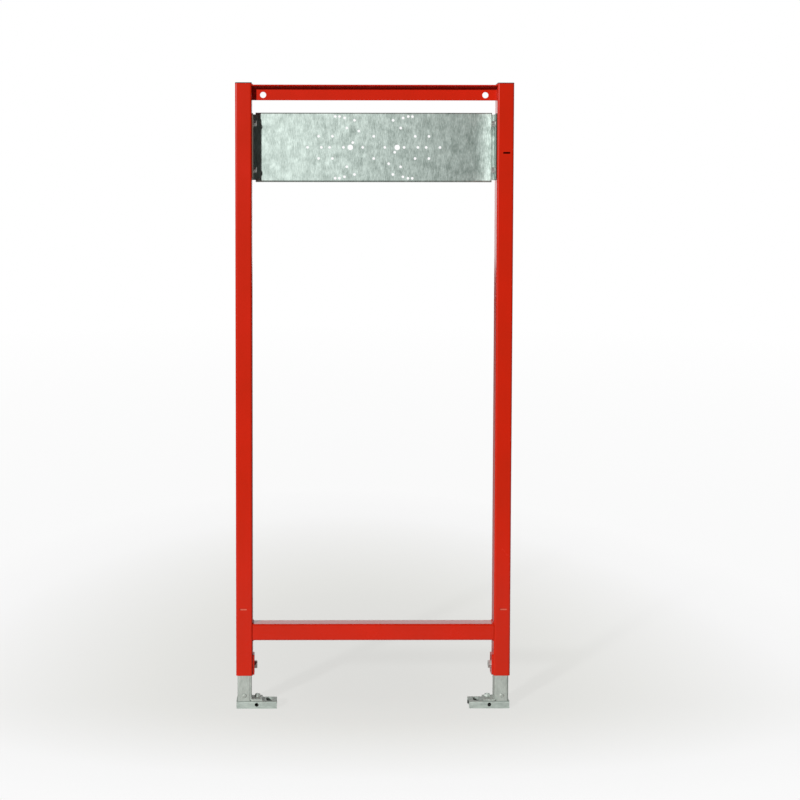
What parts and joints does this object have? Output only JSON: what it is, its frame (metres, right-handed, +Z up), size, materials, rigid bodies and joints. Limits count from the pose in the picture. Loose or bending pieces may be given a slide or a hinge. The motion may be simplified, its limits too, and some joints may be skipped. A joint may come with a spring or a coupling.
{
  "type": "shower controls installation frame",
  "caption": "Upright steel frame that holds shower controls in a wall, with a perforated mounting plate, a wall-fixing rail and feet that adjust in height.",
  "frame": {"origin": "on the back face of the top rail's web, midway between the two wall holes", "axes": "+Z up, +X to the right seen from the front, +Y towards the wall behind; the front faces -Y"},
  "size_m": [0.5, 0.04, 1.135],
  "materials": {
    "red_paint": "gloss powder coat",
    "zinc_sheet": "hot-dip zinc with spangle",
    "bolt_steel": "zinc-plated",
    "cap_plastic": "matt"
  },
  "bodies": {
    "frame": {"post_left": "red_paint", "post_right": "red_paint", "post_cap_left": "cap_plastic", "post_cap_right": "cap_plastic", "top_rail": "red_paint", "bottom_rail": "red_paint", "mounting_plate": "zinc_sheet", "plate_bolt_left_upper": "bolt_steel", "plate_bolt_left_lower": "bolt_steel", "plate_bolt_right_upper": "bolt_steel", "plate_bolt_right_lower": "bolt_steel", "clamp_plate_left": "red_paint", "clamp_plate_right": "red_paint", "clamp_bolt_left": "bolt_steel", "clamp_bolt_right": "bolt_steel"},
    "left_leg": {"leg_channel_left": "zinc_sheet", "leg_bar_left": "zinc_sheet", "foot_left": "zinc_sheet", "foot_rivets_left": "zinc_sheet", "foot_stud_left": "bolt_steel", "foot_nut_left": "bolt_steel"},
    "right_leg": {"leg_channel_right": "zinc_sheet", "leg_bar_right": "zinc_sheet", "foot_right": "zinc_sheet", "foot_rivets_right": "zinc_sheet", "foot_stud_right": "bolt_steel", "foot_nut_right": "bolt_steel"}
  },
  "joints": [
    {"name": "left_leg_slide", "type": "slide", "parent": "frame", "child": "left_leg", "axis": [0, 0, -1], "range_m": [-0.028, 0.15]},
    {"name": "right_leg_slide", "type": "slide", "parent": "frame", "child": "right_leg", "axis": [0, 0, -1], "range_m": [-0.028, 0.15]}
  ]
}
